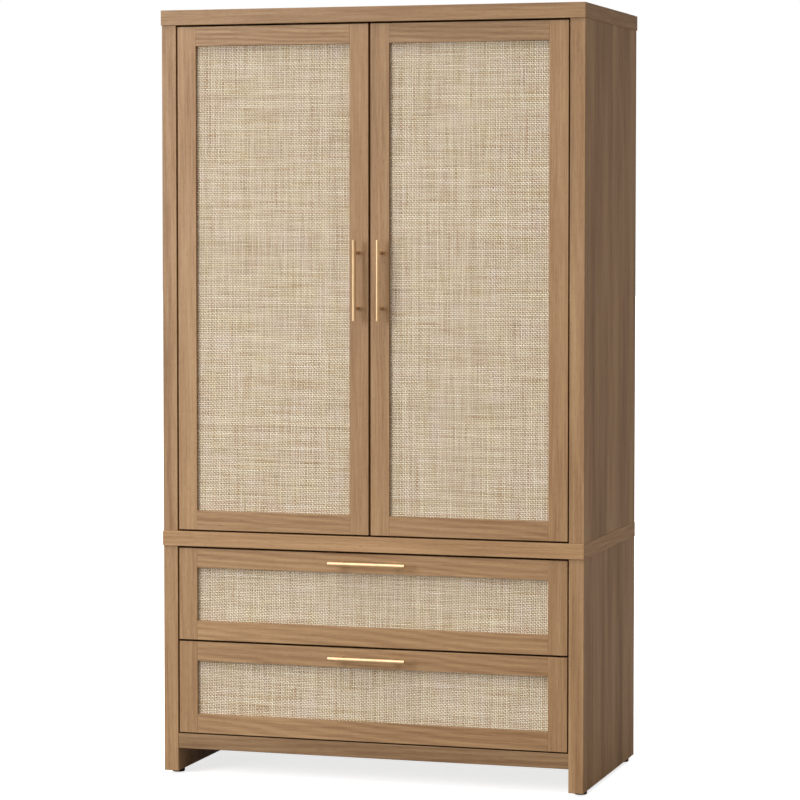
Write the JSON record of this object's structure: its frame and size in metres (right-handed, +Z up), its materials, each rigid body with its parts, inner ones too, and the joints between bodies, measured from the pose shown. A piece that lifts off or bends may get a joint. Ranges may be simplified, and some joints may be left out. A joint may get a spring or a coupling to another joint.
{
  "type": "armoire",
  "caption": "Tall armoire with framed cane doors over framed cane drawers, brass bar handles, hanging rod and shelf inside, on small round feet.",
  "frame": {"origin": "on the floor, under the middle of the overall box", "axes": "+X right seen from the front, +Y from front to back, +Z up"},
  "size_m": [1.02, 0.5623, 1.8],
  "materials": {
    "wood_finish": "satin light oak veneer",
    "raw_wood": "plain matte wood",
    "hardboard": "plain matte board",
    "cane": "woven natural cane",
    "brass": "brushed satin brass",
    "steel": "zinc plated",
    "zinc_fitting": "cast, dull",
    "black_plastic": "matte black"
  },
  "bodies": {
    "carcass": {"top_panel": "wood_finish", "middle_panel": "wood_finish", "bottom_panel": "wood_finish", "upper_side_left": "wood_finish", "upper_side_right": "wood_finish", "lower_side_left": "wood_finish", "lower_side_right": "wood_finish", "shelf": "wood_finish", "upper_back_panel": "hardboard", "lower_back_panel": "hardboard", "cam_locks": "zinc_fitting", "cam_bolts": "steel", "back_screws": "steel", "shelf_pins": "steel", "hanging_rod": "steel", "rod_sockets": "steel", "hinge_arms_and_plates": "steel", "fixed_rails": "steel", "dowels": "raw_wood", "feet": "black_plastic"},
    "left_door": {"left_door_outer_stile": "wood_finish", "left_door_inner_stile": "wood_finish", "left_door_top_rail": "wood_finish", "left_door_bottom_rail": "wood_finish", "left_door_cane": "cane", "left_door_backing": "raw_wood", "left_door_hinge_cups": "steel", "left_door_handle_screws": "steel", "left_door_handle": "brass"},
    "right_door": {"right_door_outer_stile": "wood_finish", "right_door_inner_stile": "wood_finish", "right_door_top_rail": "wood_finish", "right_door_bottom_rail": "wood_finish", "right_door_cane": "cane", "right_door_backing": "raw_wood", "right_door_hinge_cups": "steel", "right_door_handle_screws": "steel", "right_door_handle": "brass"},
    "upper_drawer": {"upper_drawer_front_stiles": "wood_finish", "upper_drawer_front_rails": "wood_finish", "upper_drawer_cane": "cane", "upper_drawer_backing": "raw_wood", "upper_drawer_box_sides": "raw_wood", "upper_drawer_box_back": "raw_wood", "upper_drawer_box_bottom": "raw_wood", "upper_drawer_handle": "brass", "upper_drawer_handle_screws": "steel", "upper_drawer_box_rails": "steel"},
    "upper_drawer_carriers": {"upper_drawer_carrier_rails": "steel"},
    "lower_drawer": {"lower_drawer_front_stiles": "wood_finish", "lower_drawer_front_rails": "wood_finish", "lower_drawer_cane": "cane", "lower_drawer_backing": "raw_wood", "lower_drawer_box_sides": "raw_wood", "lower_drawer_box_back": "raw_wood", "lower_drawer_box_bottom": "raw_wood", "lower_drawer_handle": "brass", "lower_drawer_handle_screws": "steel", "lower_drawer_box_rails": "steel"},
    "lower_drawer_carriers": {"lower_drawer_carrier_rails": "steel"}
  },
  "joints": [
    {"name": "left_door_hinge", "type": "hinge", "parent": "carcass", "child": "left_door", "pos_m": [-0.4685, -0.24465, 1.172], "axis": [0, 0, -1], "range_deg": [0, 105]},
    {"name": "right_door_hinge", "type": "hinge", "parent": "carcass", "child": "right_door", "pos_m": [0.4685, -0.24465, 1.172], "axis": [0, 0, 1], "range_deg": [0, 105]},
    {"name": "upper_drawer_slide", "type": "slide", "parent": "carcass", "child": "upper_drawer", "axis": [0, -1, 0], "range_m": [0, 0.4]},
    {"name": "upper_drawer_carrier_slide", "type": "slide", "parent": "carcass", "child": "upper_drawer_carriers", "axis": [0, -1, 0], "range_m": [0, 0.2]},
    {"name": "lower_drawer_slide", "type": "slide", "parent": "carcass", "child": "lower_drawer", "axis": [0, -1, 0], "range_m": [0, 0.4]},
    {"name": "lower_drawer_carrier_slide", "type": "slide", "parent": "carcass", "child": "lower_drawer_carriers", "axis": [0, -1, 0], "range_m": [0, 0.2]}
  ],
  "couplings": [
    {"joint": "upper_drawer_carrier_slide", "follows": "upper_drawer_slide", "ratio": 0.5},
    {"joint": "lower_drawer_carrier_slide", "follows": "lower_drawer_slide", "ratio": 0.5}
  ]
}
